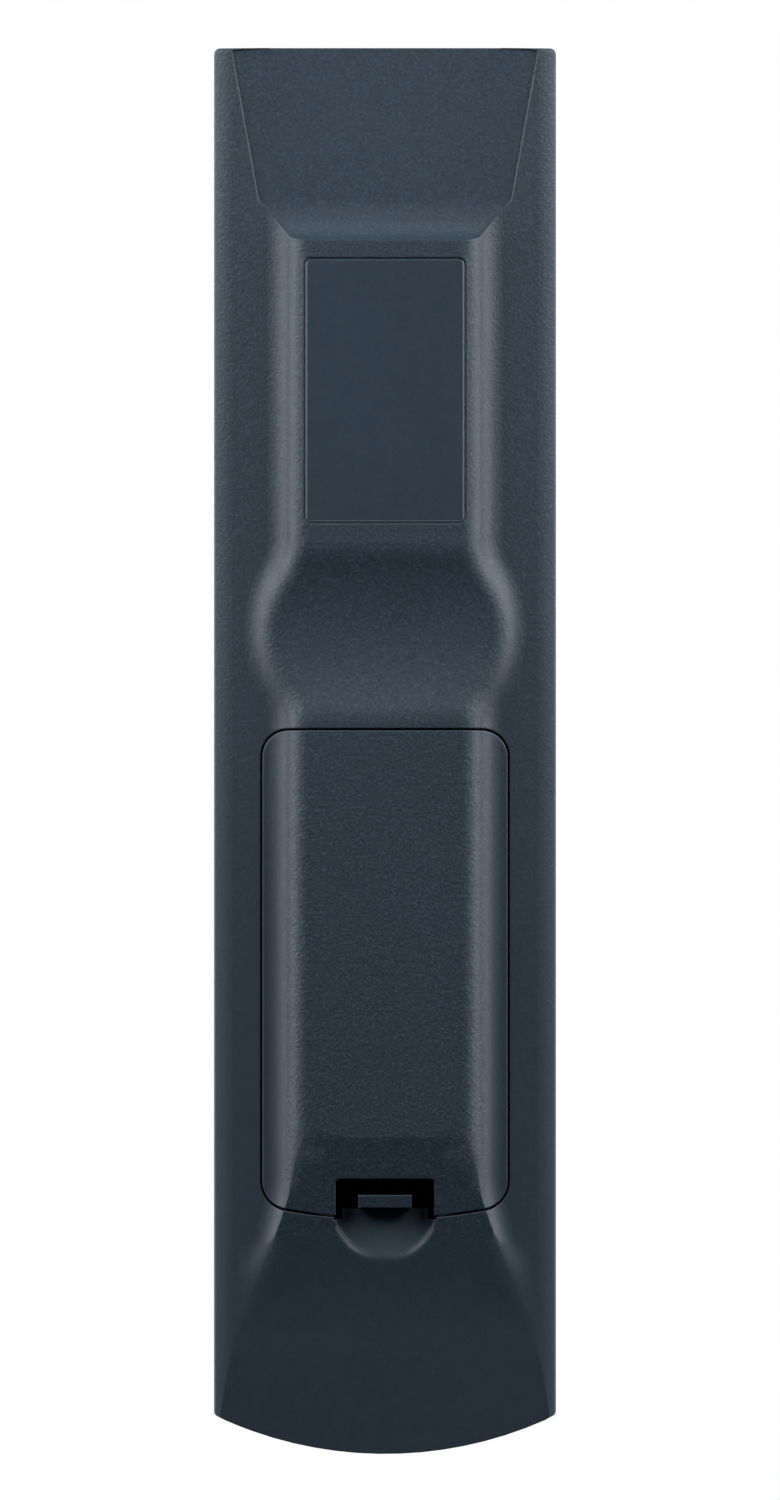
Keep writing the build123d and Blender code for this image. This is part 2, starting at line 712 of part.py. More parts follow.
# Latch: a bent strip with a finger pad and a lug that sits behind the case's ledge
with BuildPart() as battery_latch:
    with BuildSketch(Plane.YZ.offset(-latch_width / 2)):
        with BuildLine():
            pad_y = ledge_y + latch_gap
            front_y = pad_y + latch_strip
            crown_y = (pad_y + latch_arm_y) / 2
            outer = (latch_arm_y - pad_y) / 2
            inner = outer - latch_strip
            arm_y = latch_arm_y - latch_strip
            Polyline((front_y, latch_hinge_z), (front_y, pad_top_z), (pad_y + latch_pad_depth, pad_top_z),
                     (pad_y + latch_pad_depth, 0), (pad_y, 0), (pad_y, lug_z),
                     (ledge_y - latch_engagement, lug_z + latch_strip / 2),
                     (ledge_y - latch_engagement, lug_z + latch_strip),
                     (pad_y, lug_top_z), (pad_y, latch_hinge_z))
            ThreePointArc((pad_y, latch_hinge_z), (crown_y, latch_hinge_z + outer), (latch_arm_y, latch_hinge_z))
            Line((latch_arm_y, latch_hinge_z), (arm_y, latch_hinge_z))
            ThreePointArc((arm_y, latch_hinge_z), (crown_y, latch_hinge_z + inner), (front_y, latch_hinge_z))
        make_face()
    extrude(amount=latch_width)
    add(tail_ramp.part, mode=Mode.SUBTRACT)
battery_latch.part.label = "battery_latch"
export_step(battery_latch.part, "parts/battery_latch.step")

# Infrared window with a flange behind the case wall
with BuildPart() as ir_window:
    extrude(window_outline(Plane.XZ.offset(-top_y - window_proud), 0), amount=window_proud + wall + fit)
    extrude(window_outline(Plane.XZ.offset(wall + fit - top_y), window_flange), amount=window_flange_thickness)
ir_window.part.label = "ir_window"
export_step(ir_window.part, "parts/ir_window.step")

# Infrared emitters behind the window, with leads bent up into the circuit board
with BuildPart() as ir_emitters:
    for side in (-1, 1):
        with BuildSketch(Plane(origin=(side * emitter_x, emitter_back_y, emitter_z), z_dir=(0, 1, 0))):
            Circle(emitter_radius)
        extrude(amount=emitter_length)
        with BuildSketch(Plane(origin=(side * emitter_x, emitter_back_y, emitter_z), z_dir=(0, 1, 0))):
            Circle(emitter_radius + emitter_rim)
        extrude(amount=wall / 2)
    tips = ir_emitters.edges().filter_by(GeomType.CIRCLE).group_by(Axis.Y)[-1]
    fillet(tips, emitter_radius - fit)
    for x in lead_places:
        add(block((x - lead_width / 2, x + lead_width / 2), (lead_y, emitter_back_y),
                  (emitter_z - lead_width / 2, emitter_z + lead_width / 2)))
        add(block((x - lead_width / 2, x + lead_width / 2), (lead_y, lead_y + lead_width),
                  (emitter_z - lead_width / 2, board_top_z)))
ir_emitters.part.label = "ir_emitters"
export_step(ir_emitters.part, "parts/ir_emitters.step")

# Circuit board
with BuildPart() as circuit_board:
    with BuildSketch(Plane.XY.offset(board_z)):
        with Locations((0, (board_head_y + board_tail_y) / 2)):
            RectangleRounded(2 * board_half_width, board_head_y - board_tail_y, corner_radius)
        with Locations((-screw_x, screw_y), (screw_x, screw_y)):
            Circle(screw_hole_radius, mode=Mode.SUBTRACT)
        with Locations(*[(x, lead_y + lead_width / 2) for x in lead_places]):
            Rectangle(lead_width + 2 * fit, lead_width + 2 * fit, mode=Mode.SUBTRACT)
    extrude(amount=board_thickness)
circuit_board.part.label = "circuit_board"
export_step(circuit_board.part, "parts/circuit_board.step")

# Carbon contact pads printed on the board under the keys
with BuildPart() as contact_pads:
    with BuildSketch(Plane.XY.offset(board_top_z)):
        with Locations(*[place for name in keys for place in pill_places(name)]):
            Circle(pill_radius + fit)
    extrude(amount=pad_thickness)
contact_pads.part.label = "contact_pads"
export_step(contact_pads.part, "parts/contact_pads.step")

# Rubber keypad: a sheet on the board with a raised web under the edge of every key
with BuildPart() as keypad_mat:
    with BuildSketch(Plane.XY.offset(board_top_z)):
        with Locations((0, (mat_head_y + mat_tail_y) / 2)):
            RectangleRounded(2 * mat_half_width, mat_head_y - mat_tail_y, corner_radius)
    extrude(amount=mat_thickness)
    with BuildSketch(Plane.XY.offset(board_top_z)):
        for key in keys.values():
            add(key_outline(Plane.XY, key, flange_width))
    extrude(amount=key_bottom_z - board_top_z)
    with BuildSketch(Plane.XY.offset(board_top_z)):
        for key in keys.values():
            add(key_outline(Plane.XY, key))
        with Locations((-screw_x, screw_y), (screw_x, screw_y)):
            Circle(boss_radius + tab_clearance)
    extrude(amount=key_bottom_z - board_top_z, mode=Mode.SUBTRACT)
    with BuildSketch(Plane.XY.offset(rocker_bottom_z)):
        for name in rockers:
            add(key_outline(Plane.XY, keys[name], flange_width))
    extrude(amount=key_bottom_z - rocker_bottom_z, mode=Mode.SUBTRACT)
keypad_mat.part.label = "keypad_mat"
export_step(keypad_mat.part, "parts/keypad_mat.step")

# Keys, each with its flange and its carbon pill
for name, key in keys.items():
    bottom_z = rocker_bottom_z if name in rockers else key_bottom_z
    pill_gap = rocker_pill_gap if name in rockers else key_travel + pill_clearance
    pill_z = board_top_z + pad_thickness + pill_gap
    with BuildPart() as keycap:
        extrude(key_outline(Plane.XY.offset(bottom_z), key), amount=key_top_z - bottom_z)
        fillet(keycap.faces().sort_by(Axis.Z)[-1].edges(), key_round)
        extrude(key_outline(Plane.XY.offset(bottom_z), key, flange_width), amount=flange_height)
        with BuildSketch(Plane.XY.offset(pill_z)):
            with Locations(*pill_places(name)):
                Circle(pill_radius)
        extrude(amount=bottom_z - pill_z)
    keycap.part.label = name
    export_step(keycap.part, f"parts/{name}.step")

# Two AA cells
for name, side in (("left_cell", -1), ("right_cell", 1)):
    back_y = bay_top_y - plate_thickness if side < 0 else bay_tail_y + plate_thickness
    with BuildPart() as cell:
        with BuildSketch(Plane(origin=(side * cell_x, back_y, cell_z), z_dir=(0, side, 0))):
            Circle(nub_radius)
        extrude(amount=cell_length)
        with BuildSketch(Plane(origin=(side * cell_x, back_y + side * nub_length, cell_z), z_dir=(0, side, 0))):
            Circle(cell_radius)
        extrude(amount=cell_length - nub_length)
        fillet(cell.edges().filter_by(GeomType.CIRCLE).filter_by(lambda e: e.radius > nub_radius), edge_round)
    cell.part.label = name
    export_step(cell.part, f"parts/{name}.step")

# Contact plates at the top of the bay, with tails up through its ceiling to the circuit board
with BuildPart() as contact_plates:
    for side in (-1, 1):
        x = side * cell_x
        y_range = (bay_top_y - plate_thickness, bay_top_y)
        add(block((x - plate_size / 2, x + plate_size / 2), y_range,
                  (cell_z - plate_size / 2, cell_z + plate_size / 2)))
        add(block((x - plate_tail_width / 2, x + plate_tail_width / 2), y_range, (cell_z, board_z)))
contact_plates.part.label = "contact_plates"
export_step(contact_plates.part, "parts/contact_plates.step")

# Bridge at the tail end of the bay, which joins the two cells
with BuildPart() as contact_bridge:
    add(block((-cell_x - plate_size / 2, cell_x + plate_size / 2), (bay_tail_y, bay_tail_y + plate_thickness),
              (cell_z - plate_size / 2, cell_z + plate_size / 2)))
contact_bridge.part.label = "contact_bridge"
export_step(contact_bridge.part, "parts/contact_bridge.step")


def coil_station(place, side, angle):
    """A point of the coil spring's centre line and its direction there."""
    span = bay_length - 2 * plate_thickness - cell_length - spring_wire
    share = angle / (2 * pi * spring_turns)
    radius = spring_foot_radius + (spring_tip_radius - spring_foot_radius) * share
    shrink = (spring_tip_radius - spring_foot_radius) / (2 * pi * spring_turns)
    climb = side * span / (2 * pi * spring_turns)
    point = place + Vector(radius * cos(angle), climb * angle, radius * sin(angle))
    course = Vector(shrink * cos(angle) - radius * sin(angle), climb, shrink * sin(angle) + radius * cos(angle))
    return point, course.normalized()


def joint_of_arcs(start, start_course, end, end_course):
    """Where two tangent arcs meet between one point and direction and the next."""
    chord = end - start
    sum_of_courses = start_course + end_course
    spread = 2 * (1 - start_course.dot(end_course))
    along = chord.dot(sum_of_courses)
    reach = (sqrt(along**2 + spread * chord.dot(chord)) - along) / spread
    return (start + end + (start_course - end_course) * reach) / 2


# Coil springs on the minus ends of the cells, wound in quarter turns
coil_points = []
coil_samples = 400
with BuildPart() as contact_springs:
    for side, foot_y in ((-1, bay_tail_y + plate_thickness), (1, bay_top_y - plate_thickness)):
        place = Vector(side * cell_x, foot_y - side * spring_wire / 2, cell_z)
        stations = [coil_station(place, -side, quarter * pi / 2) for quarter in range(round(4 * spring_turns) + 1)]
        with BuildLine() as wire_path:
            course = stations[0][1]
            for (start, start_course), (end, end_course) in zip(stations, stations[1:]):
                first = TangentArc(start, joint_of_arcs(start, start_course, end, end_course),
                                   tangent=start_course)
                TangentArc(first @ 1, end, tangent=first % 1)
        with BuildSketch(Plane(origin=stations[0][0], z_dir=stations[0][1])):
            Circle(spring_wire / 2)
        sweep(path=wire_path.wires()[0])
        coil_points.append([wire_path.wires()[0] @ (step / coil_samples) for step in range(coil_samples + 1)])
contact_springs.part.label = "contact_springs"
export_step(contact_springs.part, "parts/contact_springs.step")
half_turn = round(coil_samples / spring_turns / 2)
least_gap = min((a - b).length for points in coil_points for place, a in enumerate(points)
                for b in points[place + half_turn:]) - spring_wire
print("coil springs, least gap between turns:", round(least_gap, 2))

# Screws from the bay up into the front cover
with BuildPart() as housing_screws:
    with Locations((-screw_x, screw_y, screw_head_z), (screw_x, screw_y, screw_head_z)):
        Cylinder(screw_shank_radius, screw_length, align=(Align.CENTER, Align.CENTER, Align.MIN))
        Cylinder(screw_head_radius, screw_head_height, align=(Align.CENTER, Align.CENTER, Align.MAX))
    heads = housing_screws.faces().group_by(Axis.Z)[0]
    fillet(heads.edges(), edge_round)
    with Locations(*[Plane(face, z_dir=(0, 0, -1)) for face in heads]):
        Box(screw_head_radius, screw_head_height / 4, screw_head_height, mode=Mode.SUBTRACT)
        Box(screw_head_height / 4, screw_head_radius, screw_head_height, mode=Mode.SUBTRACT)
housing_screws.part.label = "housing_screws"
export_step(housing_screws.part, "parts/housing_screws.step")


def under_board(place, size):
    """A component's box against the underside of the circuit board."""
    return block((place[0] - size[0] / 2, place[0] + size[0] / 2),
                 (place[1] - size[1] / 2, place[1] + size[1] / 2), (board_z - size[2], board_z))


# Controller chip with its two rows of legs
with BuildPart() as controller_chip:
    add(under_board(chip_place, chip_size))
    for side in (-1, 1):
        leg_x = chip_place[0] + side * (chip_size[0] + chip_leg_reach) / 2
        for leg in range(int(chip_size[1] / chip_leg_pitch)):
            leg_y = chip_place[1] - chip_size[1] / 2 + (leg + 0.5) * chip_leg_pitch
            add(under_board((leg_x, leg_y), (chip_leg_reach, chip_leg_width, chip_leg_width)))
controller_chip.part.label = "controller_chip"
export_step(controller_chip.part, "parts/controller_chip.step")

# Ceramic resonator
with BuildPart() as ceramic_resonator:
    add(under_board(resonator_place, resonator_size))
    fillet(ceramic_resonator.edges().filter_by(Axis.Z), corner_radius)
ceramic_resonator.part.label = "ceramic_resonator"
export_step(ceramic_resonator.part, "parts/ceramic_resonator.step")

# Electrolytic capacitor lying against the board
with BuildPart() as buffer_capacitor:
    with BuildSketch(Plane(origin=(capacitor_place[0], capacitor_place[1] - capacitor_length / 2,
                                   board_z - capacitor_radius), z_dir=(0, 1, 0))):
        Circle(capacitor_radius)
    extrude(amount=capacitor_length)
    fillet(buffer_capacitor.edges().filter_by(GeomType.CIRCLE), edge_round)
buffer_capacitor.part.label = "buffer_capacitor"
export_step(buffer_capacitor.part, "parts/buffer_capacitor.step")

# Transistor and resistors that drive the infrared emitters
with BuildPart() as emitter_driver:
    add(under_board(driver_place, driver_size))
    for side in (-1, 1):
        add(under_board((driver_place[0] + side * resistor_pitch, driver_place[1]), resistor_size))
emitter_driver.part.label = "emitter_driver"
export_step(emitter_driver.part, "parts/emitter_driver.step")
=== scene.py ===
import json
import math

import bpy
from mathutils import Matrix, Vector

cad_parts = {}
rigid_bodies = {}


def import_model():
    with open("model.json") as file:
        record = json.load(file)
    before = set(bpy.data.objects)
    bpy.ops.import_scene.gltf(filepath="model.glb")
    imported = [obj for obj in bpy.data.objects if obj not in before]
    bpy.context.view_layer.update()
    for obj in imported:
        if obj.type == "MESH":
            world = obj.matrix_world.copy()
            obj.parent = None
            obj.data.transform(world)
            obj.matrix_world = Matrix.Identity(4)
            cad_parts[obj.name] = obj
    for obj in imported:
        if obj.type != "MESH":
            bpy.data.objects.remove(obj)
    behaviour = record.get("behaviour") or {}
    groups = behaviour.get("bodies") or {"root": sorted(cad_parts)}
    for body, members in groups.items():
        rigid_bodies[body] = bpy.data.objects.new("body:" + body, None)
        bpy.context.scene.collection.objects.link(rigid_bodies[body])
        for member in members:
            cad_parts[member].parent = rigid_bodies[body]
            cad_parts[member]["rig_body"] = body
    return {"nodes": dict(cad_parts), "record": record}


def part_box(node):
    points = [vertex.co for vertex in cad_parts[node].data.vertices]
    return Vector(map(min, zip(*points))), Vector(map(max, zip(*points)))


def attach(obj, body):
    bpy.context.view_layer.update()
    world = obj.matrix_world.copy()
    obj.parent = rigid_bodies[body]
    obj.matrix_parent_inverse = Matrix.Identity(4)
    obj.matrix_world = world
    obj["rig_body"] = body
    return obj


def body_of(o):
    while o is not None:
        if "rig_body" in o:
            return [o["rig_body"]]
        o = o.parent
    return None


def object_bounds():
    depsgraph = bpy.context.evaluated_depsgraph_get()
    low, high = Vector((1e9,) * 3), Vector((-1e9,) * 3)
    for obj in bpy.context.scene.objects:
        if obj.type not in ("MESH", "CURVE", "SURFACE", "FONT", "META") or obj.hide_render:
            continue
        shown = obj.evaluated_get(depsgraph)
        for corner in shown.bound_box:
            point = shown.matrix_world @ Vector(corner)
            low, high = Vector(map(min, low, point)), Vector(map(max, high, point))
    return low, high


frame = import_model()
cad_box = [list(corner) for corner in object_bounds()]
nodes = frame["nodes"]
slots = {row["node"]: row["material_slot"] for row in frame["record"]["subparts"]}
scene = bpy.context.scene

MM = 0.001

# Where the two halves of the case part, in millimetres
seam_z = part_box("front_cover")[0].z / MM

# Label pad in the recess of the back, in millimetres
PAD_HALF_X, PAD_HALF_Y = 11.47, 19.02
PAD_MIDDLE = 52.4
PAD_DEPTH = 0.1

# Colours of the case as light levels; the pad's edge colour is a painted highlight, and its groove
# colour is painted light that lifts the shade in the groove
SHELL = (0.0172, 0.0308, 0.0485)
PAD_EDGE_HIGHLIGHT_COLOUR = (0.105, 0.135, 0.16)
PAD_GROOVE_PAINTED_LIGHT = (0.036, 0.062, 0.086)


# Node helpers

class Graph:
    """The nodes of a material or of the world, with short calls for the kinds used here."""

    def __init__(self, owner, output="ShaderNodeOutputMaterial"):
        owner.use_nodes = True
        self.owner = owner
        self.tree = owner.node_tree
        self.tree.nodes.clear()
        self.output = self.tree.nodes.new(output)

    def node(self, kind, inputs=None, **settings):
        made = self.tree.nodes.new(kind)
        for key, value in settings.items():
            setattr(made, key, value)
        for key, value in (inputs or {}).items():
            self.feed(made.inputs[key], value)
        return made

    def feed(self, socket, value):
        """A socket is linked, and a constant is set on the node's own socket."""
        if isinstance(value, bpy.types.NodeSocket):
            self.tree.links.new(value, socket)
        else:
            socket.default_value = value

    def math(self, operation, *values):
        made = self.node("ShaderNodeMath", operation=operation)
        for socket, value in zip(made.inputs, values):
            self.feed(socket, value)
        return made.outputs[0]

    def times(self, product, *factors):
        for factor in factors:
            product = self.math("MULTIPLY", product, factor)
        return product

    def vary(self, middle, noise, amount):
        """Middle, taken up and down by the noise."""
        return self.math("ADD", middle, self.times(self.math("SUBTRACT", noise, 0.5), amount))

    def less(self, value, share):
        """One less a share of the value."""
        return self.math("SUBTRACT", 1.0, self.times(value, share))

    def ramp(self, value, low, high, start=0.0, end=1.0):
        """Value taken smoothly from low..high to start..end, and held outside them."""
        made = self.node("ShaderNodeMapRange",
                         {"Value": value, "From Min": low, "From Max": high,
                          "To Min": start, "To Max": end},
                         interpolation_type="SMOOTHSTEP")
        return made.outputs[0]

    def below(self, value, low, high):
        """One up to low, fading to nothing at high."""
        return self.ramp(value, low, high, 1.0, 0.0)

    def within(self, value, low, high, fade):
        """One between two values, fading to nothing outside them."""
        return self.times(self.ramp(value, low - fade, low), self.below(value, high, high + fade))

    def mix(self, factor, a, b):
        """Colour a, giving way to b where the factor nears one."""
        made = self.node("ShaderNodeMix", {0: factor}, data_type="RGBA")
        for socket, value in ((made.inputs[6], a), (made.inputs[7], b)):
            self.feed(socket, value if isinstance(value, bpy.types.NodeSocket) else (*value, 1))
        return made.outputs[2]

    def split(self, vector):
        return self.node("ShaderNodeSeparateXYZ", {0: vector}).outputs

    def place(self):
        """Position on the piece in millimetres, moving with it."""
        metres = self.node("ShaderNodeTexCoord").outputs["Object"]
        return self.node("ShaderNodeVectorMath", {0: metres, "Scale": 1 / MM},
                         operation="SCALE").outputs[0]

    def noise(self, at, size, seed, detail=2.0, roughness=0.5):
        """Noise whose grains are about size millimetres across."""
        made = self.node("ShaderNodeTexNoise",
                         {"Vector": at, "W": seed, "Scale": 0.5 / size, "Detail": detail,
                          "Roughness": roughness}, noise_dimensions="4D")
        return made.outputs["Fac"]

    def bevel(self, radius):
        """Normal with its edges rounded by a radius in metres."""
        return self.node("ShaderNodeBevel", {"Radius": radius}, samples=8).outputs[0]

    def bump(self, height, strength, depth, normal=None):
        """Normal with the height as relief, whose depth is in millimetres."""
        made = self.node("ShaderNodeBump",
                         {"Height": height, "Strength": strength, "Distance": depth * MM})
        if normal is not None:
            self.feed(made.inputs["Normal"], normal)
        return made.outputs[0]

    def finish(self, shader):
        self.tree.links.new(shader.outputs[0], self.output.inputs[0])
        return self.owner

    def principled(self, colour, roughness, normal, **others):
        """The finished material; other inputs are named with _ in place of their spaces."""
        inputs = {"Base Color": colour, "Roughness": roughness, "Normal": normal}
        inputs.update((key.replace("_", " "), value) for key, value in others.items())
        return self.finish(self.node("ShaderNodeBsdfPrincipled", inputs))


def material_graph(name):
    return Graph(bpy.data.materials.new(name))


def srgb(red, green, blue):
    """A colour written as the screen shows it, as the light levels that nodes want."""
    return tuple((v / 255) / 12.92 if v <= 10 else (((v / 255) + 0.055) / 1.055) ** 2.4
                 for v in (red, green, blue))


def tint(colour, factor):
    return tuple(v * factor for v in colour)


# Wear and grain of the moulded back

def label_pad(g, xyz):
    """Masks of the smooth label pad, of the painted highlight along its edges and of the painted
    light in the groove at its head.
    """
    across = g.math("ABSOLUTE", xyz[0])
    along = g.math("SUBTRACT", xyz[1], PAD_MIDDLE)
    in_x = g.below(across, PAD_HALF_X - 0.02, PAD_HALF_X + 0.06)
    in_y = g.below(g.math("ABSOLUTE", along), PAD_HALF_Y - 0.02, PAD_HALF_Y + 0.06)
    on_pad = g.below(xyz[2], 2 * PAD_DEPTH, 3 * PAD_DEPTH)
    sides = g.times(g.within(across, PAD_HALF_X - 0.12, PAD_HALF_X + 0.1, 0.06), in_y)
    tail = g.times(g.within(along, -PAD_HALF_Y - 0.1, -PAD_HALF_Y + 0.1, 0.05), in_x)
    # Where the pad's sides and tail edge get a painted highlight
    edges = g.times(g.math("MAXIMUM", sides, tail), on_pad)
    # Where the groove at the pad's head gets painted light
    groove = g.times(g.within(along, PAD_HALF_Y, PAD_HALF_Y + 0.33, 0.03),
                     g.below(across, PAD_HALF_X - 0.4, PAD_HALF_X + 0.3),
                     g.below(xyz[2], 0.4, 0.6))
    return g.times(in_x, in_y, on_pad), edges, groove


def tail_blend(g, xyz):
    """Extra rounding toward the tail, in millimetres: ridges the most, then the scoop's rim."""
    across, along = g.math("ABSOLUTE", xyz[0]), xyz[1]
    door = g.times(g.within(across, 9.5, 12.8, 2.4), g.within(along, -63.0, -56.0, 2.2))
    case = g.times(g.within(across, 13.0, 21.0, 2.0), g.within(along, -86.0, -73.0, 2.8))
    scoop = g.times(g.within(across, -1.0, 9.2, 0.6), g.within(along, -75.0, -69.8, 0.5))
    return g.math("MAXIMUM", g.times(g.math("MAXIMUM", door, case), 3.6), g.times(scoop, 0.9))


def grain_depth(g, xyz):
    """The mould's grain: a little shallower on the spine's head half, fading along the shoulders
    toward the tail."""
    shoulder = g.ramp(xyz[1], -72.0, 82.0, 0.18, 0.75)
    spine = g.ramp(xyz[1], -8.0, 10.0, 1.0, 0.84)
    on_shoulder = g.ramp(xyz[2], 1.8, 3.2)
    return g.math("ADD", spine, g.times(on_shoulder, g.math("SUBTRACT", shoulder, spine)))


# Materials

def moulded_plastic(name, colour, roughness, grain, relief, edge=0.35, speckle=0.5, seam_shadow=False,
                    back=False):
    """Spark-eroded satin plastic: fine grain, faint flow marks, edges rubbed a little smoother, and
    where asked a painted shadow line at the seam.
    """
    g = material_graph(name)
    at = g.place()
    xyz = g.split(at)
    fine = g.noise(at, grain, 1.0, detail=1.5, roughness=0.6)
    coarse = g.noise(at, grain * 3.1, 2.0)
    clouds = g.noise(at, 14.0, 3.0, detail=3.0)
    rounded = g.bevel(edge * MM)
    true_normal = g.node("ShaderNodeNewGeometry").outputs["Normal"]
    turn = g.node("ShaderNodeVectorMath", {0: rounded, 1: true_normal}, operation="DOT_PRODUCT")
    rubbed = g.ramp(turn.outputs["Value"], 0.995, 0.93)
    rough = g.vary(roughness, coarse, 0.16)
    rough = g.math("SUBTRACT", rough, g.times(rubbed, 0.08))
    depths = ()
    if back:
        pad, pad_edge_highlight, pad_groove_painted_light = label_pad(g, xyz)
        rounded = g.bevel(g.math("MULTIPLY_ADD", tail_blend(g, xyz), MM, edge * MM))
        depths = (grain_depth(g, xyz), g.less(pad, 0.8))
        rough = g.math("SUBTRACT", rough, g.times(pad, 0.06))

    height = g.math("ADD", g.times(fine, 0.75), g.times(coarse, 0.25))
    normal = g.bump(height, g.times(g.less(rubbed, 0.45), *depths, relief), grain * 0.35, rounded)
    speck = g.times(g.ramp(fine, 0.53, 0.68, 0.0, speckle), *depths)
    pit = g.times(g.ramp(fine, 0.47, 0.32, 0.0, speckle), *depths)
    base = g.mix(g.ramp(clouds, 0.3, 0.7), tint(colour, 0.95), tint(colour, 1.06))
    base = g.mix(speck, base, tint(colour, 2.2))
    base = g.mix(pit, base, tint(colour, 0.4))
    base = g.mix(g.times(rubbed, 0.25), base, tint(colour, 1.35))
    if back:
        # Painted highlight: pale lines on the pad's bevelled sides and tail edge, where the groove
        # wall shades them
        base = g.mix(g.times(pad_edge_highlight, 0.85), base, PAD_EDGE_HIGHLIGHT_COLOUR)
        # Painted light: the groove at the pad's head made lighter, so that its shade reads softer
        base = g.mix(g.times(pad_groove_painted_light, 0.9), base, PAD_GROOVE_PAINTED_LIGHT)
    # Painted shadow: a dark line round the case where the two halves meet
    if seam_shadow:
        seam_shadow_line = g.below(g.math("ABSOLUTE", g.math("SUBTRACT", xyz[2], seam_z)), 0.06, 0.16)
        base = g.mix(g.times(seam_shadow_line, 0.85), base, tint(colour, 0.12))
    return g.principled(base, rough, normal, IOR=1.5)


def rubber(name, colour, roughness, sheen=0.15):
    """Matte silicone rubber or soft-touch paint: very fine grain, dust in the pores."""
    g = material_graph(name)
    at = g.place()
    fine = g.noise(at, 0.12, 5.0)
    dust = g.noise(at, 1.6, 6.0, detail=5.0, roughness=0.65)
    base = g.mix(g.ramp(dust, 0.42, 0.72), tint(colour, 0.94), tint(colour, 1.12))
    base = g.mix(g.times(g.ramp(fine, 0.58, 0.75), 0.3), base, tint(colour, 1.6))
    return g.principled(base, g.vary(roughness, dust, 0.2),
                        g.bump(fine, 0.35, 0.03, g.bevel(0.2 * MM)),
                        Sheen_Weight=sheen, Sheen_Roughness=0.5)


def metal(name, colour, roughness, brushed):
    """Plated metal with fine drawing marks, finer where brushed is larger, and a little tarnish."""
    g = material_graph(name)
    at = g.place()
    stretched = g.node("ShaderNodeMapping", {0: at, "Scale": brushed}).outputs[0]
    lines = g.noise(stretched, 0.16, 7.0, detail=3.0)
    tarnish = g.noise(at, 2.2, 8.0, detail=4.0)
    base = g.mix(g.ramp(tarnish, 0.45, 0.75), colour, tint(colour, 0.72))
    return g.principled(base, g.vary(roughness, lines, 0.25),
                        g.bump(lines, 0.25, 0.02, g.bevel(0.12 * MM)), Metallic=1.0)


def smoked_window(name):
    """Dark acrylic that lets infrared through: olive cast, polished, a faint moulding ripple."""
    g = material_graph(name)
    at = g.place()
    ripple = g.noise(at, 6.0, 9.0, detail=1.0)
    haze = g.noise(at, 0.5, 10.0, detail=4.0)
    base = g.mix(g.ramp(haze, 0.4, 0.8), srgb(44, 42, 30), srgb(52, 49, 35))
    return g.principled(base, g.ramp(haze, 0.3, 0.8, 0.08, 0.13),
                        g.bump(ripple, 0.2, 0.06, g.bevel(0.15 * MM)),
                        Coat_Weight=0.4, Coat_Roughness=0.06)


def clear_lens(name):
    """Clear epoxy of the emitters, with pale swirls."""
    g = material_graph(name)
    swirl = g.noise(g.place(), 1.4, 11.0)
    base = g.mix(g.ramp(swirl, 0.3, 0.7), srgb(196, 208, 222), srgb(150, 168, 190))
    return g.principled(base, g.ramp(swirl, 0.2, 0.8, 0.04, 0.12),
                        g.bump(swirl, 0.1, 0.05, g.bevel(0.1 * MM)),
                        Transmission_Weight=0.55, IOR=1.53)


def board(name):
    """Green solder mask over rows of copper, with the glass weave faintly showing."""
    g = material_graph(name)
    at = g.place()
    xyz = g.split(at)
    rows = g.node("ShaderNodeTexBrick",
                  {"Vector": at, "Scale": 0.28, "Mortar Size": 0.045, "Mortar Smooth": 0.15})
    copper = g.math("SUBTRACT", 1.0, rows.outputs["Fac"])
    weave = g.times(*(g.math("SINE", g.times(xyz[axis], 12.0)) for axis in (0, 1)))
    stain = g.noise(at, 3.0, 12.0, detail=4.0)
    base = g.mix(g.times(copper, 0.55), srgb(30, 84, 48), srgb(62, 126, 66))
    base = g.mix(g.ramp(stain, 0.4, 0.8, 0.0, 0.35), base, srgb(18, 60, 38))
    height = g.math("ADD", g.times(copper, 0.8), g.times(weave, 0.15))
    return g.principled(base, g.ramp(stain, 0.2, 0.8, 0.28, 0.42),
                        g.bump(height, 0.5, 0.04, g.bevel(0.1 * MM)),
                        Coat_Weight=0.35, Coat_Roughness=0.2)


